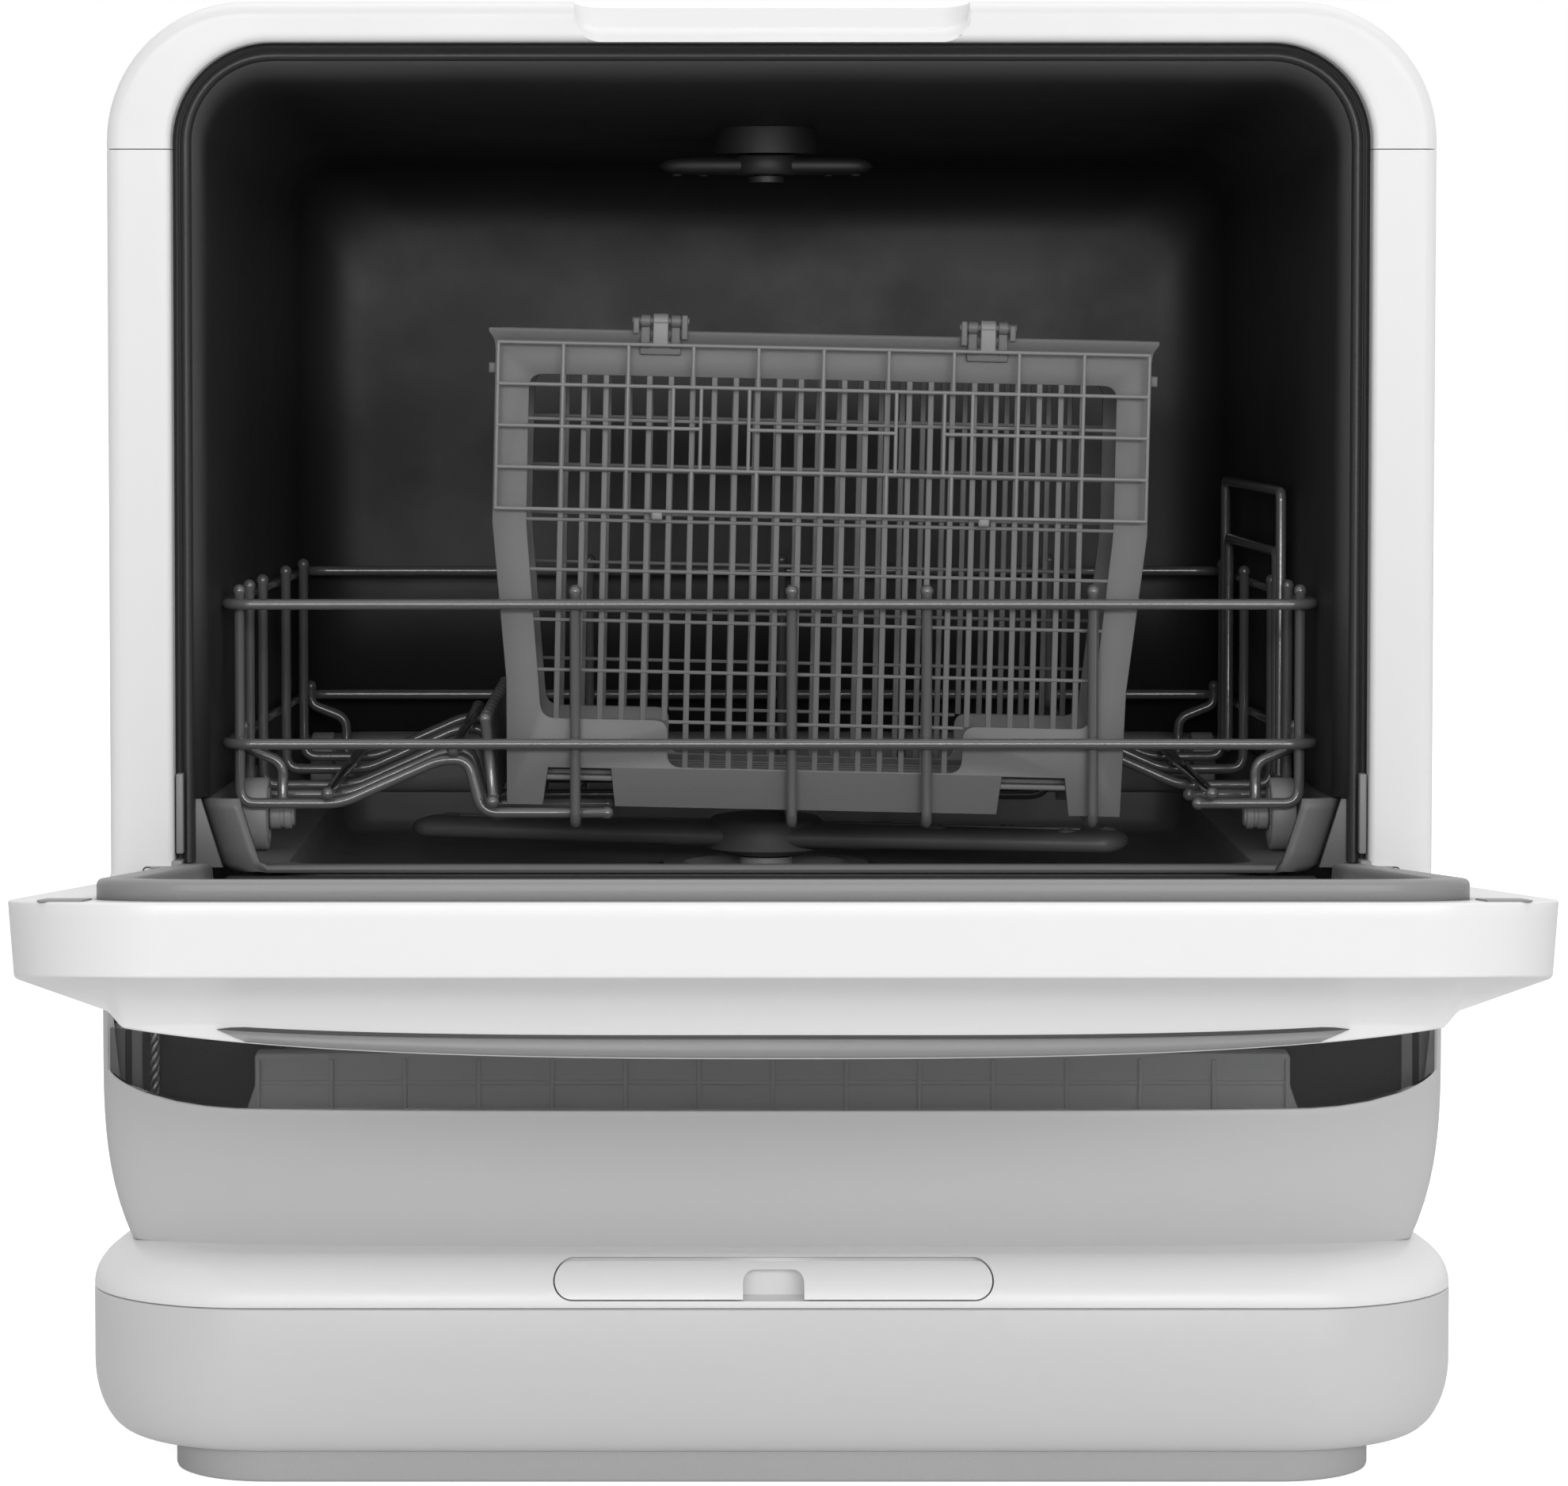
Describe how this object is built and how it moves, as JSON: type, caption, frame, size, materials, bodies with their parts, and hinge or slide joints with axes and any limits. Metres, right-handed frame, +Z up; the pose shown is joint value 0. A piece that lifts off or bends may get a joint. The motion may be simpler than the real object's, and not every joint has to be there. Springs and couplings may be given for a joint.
{
  "type": "countertop dishwasher",
  "caption": "Boxy countertop dishwasher with a drop-down front door, black tub, wheeled wire rack, mesh basket with a hinged lid, spray arms and a rounded base.",
  "frame": {"origin": "centre of the foot's underside, on the worktop", "axes": "+Z up, -Y out of the door side, +X to the right seen from the front; door open at rest"},
  "size_m": [0.42, 0.6717, 0.4515],
  "materials": {
    "white_shell": "satin moulded",
    "pale_base": "satin moulded",
    "grey_foot": "matt moulded",
    "smoked_window": "smoked",
    "black_tub": "fine matt",
    "grey_tub": "fine matt",
    "seal_rubber": "matt",
    "liner_grey": "fine matt",
    "grip_grey": "satin",
    "mid_grey_plastic": "fine matt",
    "basket_grey": "fine matt",
    "coated_wire": "gloss coated",
    "steel": "brushed",
    "tank_grey": "satin",
    "dark_plastic": "matt",
    "circuit_board": "satin"
  },
  "bodies": {
    "housing": {"foot": "grey_foot", "base_tray": "pale_base", "base_cover": "white_shell", "lower_front_panel": "pale_base", "lower_window": "smoked_window", "side_panel_left": "white_shell", "side_panel_right": "white_shell", "top_cover": "white_shell", "back_panel": "pale_base", "back_screws": "steel", "tub_upper": "black_tub", "tub_lower": "grey_tub", "tub_gasket": "seal_rubber", "sill_seal": "seal_rubber", "hinge_bracket_left": "liner_grey", "hinge_bracket_right": "liner_grey", "water_tank": "tank_grey", "level_hose": "steel", "sump": "dark_plastic", "filter_cup": "mid_grey_plastic", "wash_pump": "dark_plastic", "drain_pump": "dark_plastic", "heater": "steel", "riser_pipe": "mid_grey_plastic", "drying_fan": "dark_plastic", "control_board": "circuit_board", "water_inlet": "mid_grey_plastic", "drain_outlet": "dark_plastic", "power_inlet": "dark_plastic", "upper_arm_boss": "black_tub", "lower_arm_post": "mid_grey_plastic"},
    "flap": {"service_flap": "white_shell"},
    "door": {"door_shell": "white_shell", "door_liner": "liner_grey", "door_grip": "grip_grey", "door_tabs": "liner_grey", "door_hinge_left": "steel", "door_hinge_right": "steel"},
    "rack": {"rack_upper_rim": "coated_wire", "rack_lower_rim": "coated_wire", "rack_floor_wires": "coated_wire", "rack_cross_wires": "coated_wire", "rack_side_rails": "coated_wire", "rack_tines": "coated_wire", "rack_fence": "coated_wire", "rack_axle_wires": "coated_wire", "wheel_hubs": "mid_grey_plastic"},
    "wheel_fl": {"wheel_front_left": "mid_grey_plastic"},
    "wheel_fr": {"wheel_front_right": "mid_grey_plastic"},
    "wheel_bl": {"wheel_back_left": "mid_grey_plastic"},
    "wheel_br": {"wheel_back_right": "mid_grey_plastic"},
    "lower_arm": {"lower_spray_arm": "grey_tub"},
    "upper_arm": {"upper_spray_arm": "black_tub"},
    "basket": {"basket_shell": "basket_grey", "basket_front_grid": "basket_grey", "basket_rear_grid": "basket_grey", "basket_hinges": "basket_grey"},
    "basket_lid": {"basket_lid": "basket_grey"}
  },
  "joints": [
    {"name": "door_hinge", "type": "hinge", "parent": "housing", "child": "door", "pos_m": [0, -0.1634, 0.169], "axis": [1, 0, 0], "range_deg": [-85.3, 0]},
    {"name": "rack_slide", "type": "slide", "parent": "housing", "child": "rack", "axis": [0, -1, 0], "range_m": [0, 0.2]},
    {"name": "wheel_fl_roll", "type": "hinge", "parent": "rack", "child": "wheel_fl", "pos_m": [-0.165, -0.09, 0.19435], "axis": [1, 0, 0], "range_deg": [-10, 990]},
    {"name": "wheel_fr_roll", "type": "hinge", "parent": "rack", "child": "wheel_fr", "pos_m": [0.165, -0.09, 0.19435], "axis": [1, 0, 0], "range_deg": [-10, 990]},
    {"name": "wheel_bl_roll", "type": "hinge", "parent": "rack", "child": "wheel_bl", "pos_m": [-0.157, 0.106, 0.19435], "axis": [1, 0, 0], "range_deg": [-10, 990]},
    {"name": "wheel_br_roll", "type": "hinge", "parent": "rack", "child": "wheel_br", "pos_m": [0.157, 0.106, 0.19435], "axis": [1, 0, 0], "range_deg": [-10, 990]},
    {"name": "lower_arm_spin", "type": "hinge", "parent": "housing", "child": "lower_arm", "pos_m": [0, 0, 0.1795], "axis": [0, 0, 1], "continuous": true},
    {"name": "upper_arm_spin", "type": "hinge", "parent": "housing", "child": "upper_arm", "pos_m": [0, 0, 0.405], "axis": [0, 0, 1], "continuous": true},
    {"name": "basket_lift", "type": "slide", "parent": "rack", "child": "basket", "axis": [0, 0, 1], "range_m": [0, 0.06]},
    {"name": "basket_lid_hinge", "type": "hinge", "parent": "basket", "child": "basket_lid", "pos_m": [0.01736, -0.1076, 0.35177], "axis": [-0.9998, 0, 0.0216], "range_deg": [0, 255]},
    {"name": "flap_pull", "type": "slide", "parent": "housing", "child": "flap", "axis": [0, -1, 0], "range_m": [0, 0.02]}
  ],
  "couplings": [
    {"joint": "wheel_fl_roll", "follows": "rack_slide", "rad_per_m": 85.106},
    {"joint": "wheel_fr_roll", "follows": "rack_slide", "rad_per_m": 85.106},
    {"joint": "wheel_bl_roll", "follows": "rack_slide", "rad_per_m": 85.106},
    {"joint": "wheel_br_roll", "follows": "rack_slide", "rad_per_m": 85.106}
  ]
}
